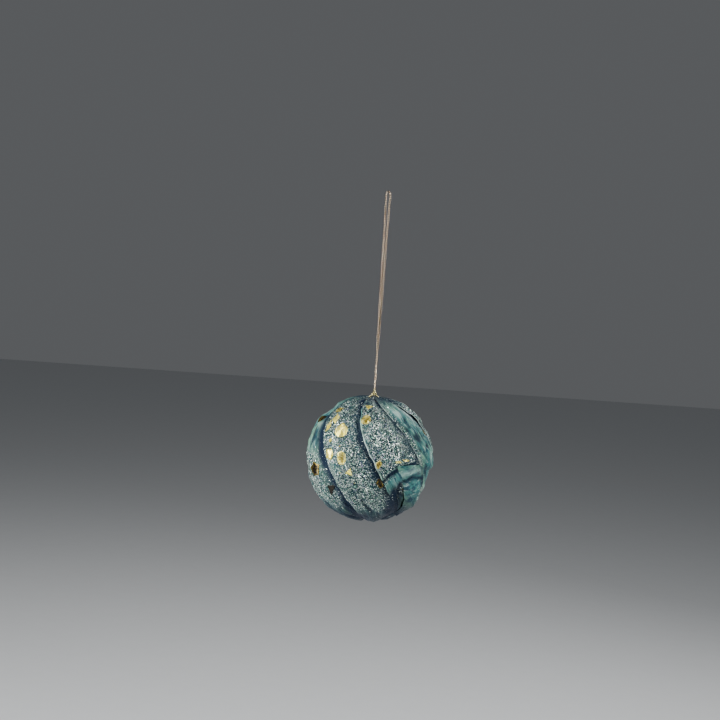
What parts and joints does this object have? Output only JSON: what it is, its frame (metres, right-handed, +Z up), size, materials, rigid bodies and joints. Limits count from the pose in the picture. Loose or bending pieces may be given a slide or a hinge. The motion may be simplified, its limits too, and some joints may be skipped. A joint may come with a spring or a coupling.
{
  "type": "hanging paper ball ornament",
  "caption": "Hollow paper ball on a knotted metallic cord loop, covered with overlapping swirled leaves of marbled and glittered paper with gold leaf flakes.",
  "frame": {"origin": "inside top of the hanging cord's bight, where a hook or a finger bears; the ball hangs below", "axes": "+Z up along the cord, +X to the right and -Y towards the front, which is the side with the folded patch at the lower right"},
  "size_m": [0.0854, 0.0858, 0.2217],
  "materials": {
    "marbled_paper": "matte",
    "glitter_paper": "glittered",
    "pulp": "matte",
    "card": "matte",
    "gummed_tape": "satin",
    "gold_leaf": "bright",
    "metallic_cord": "metallic"
  },
  "bodies": {
    "hanger": {"hanging_cord": "metallic_cord"},
    "knot": {"cord_knot": "metallic_cord"},
    "bridle": {"bridle_leg_left": "metallic_cord", "bridle_leg_right": "metallic_cord"},
    "ball": {"core_upper": "pulp", "core_lower": "pulp", "seam_tape": "gummed_tape", "crown_disc": "marbled_paper", "base_disc": "marbled_paper", "reinforcing_disc": "card", "folded_patch": "marbled_paper", "anchor_stitch": "metallic_cord", "paper_leaf_1": "glitter_paper", "paper_leaf_2": "glitter_paper", "paper_leaf_3": "marbled_paper", "paper_leaf_4": "marbled_paper", "paper_leaf_5": "glitter_paper", "paper_leaf_6": "marbled_paper", "paper_leaf_7": "glitter_paper", "paper_leaf_8": "glitter_paper", "gold_flakes_1": "gold_leaf", "gold_flakes_2": "gold_leaf", "gold_flakes_3": "gold_leaf", "gold_flakes_4": "gold_leaf", "gold_flakes_5": "gold_leaf", "gold_flakes_6": "gold_leaf", "gold_flakes_7": "gold_leaf", "gold_flakes_8": "gold_leaf"}
  },
  "joints": [
    {"name": "spin", "type": "hinge", "parent": "hanger", "child": "knot", "pos_m": [0, 0, -0.13502], "axis": [0, 0, 1], "range_deg": [-180, 180]},
    {"name": "sway", "type": "hinge", "parent": "knot", "child": "bridle", "pos_m": [0, 0, -0.13502], "axis": [0, 1, 0], "range_deg": [-90, 90]},
    {"name": "nod", "type": "hinge", "parent": "bridle", "child": "ball", "pos_m": [0, 0, -0.13772], "axis": [1, 0, 0], "range_deg": [-60, 60]}
  ]
}
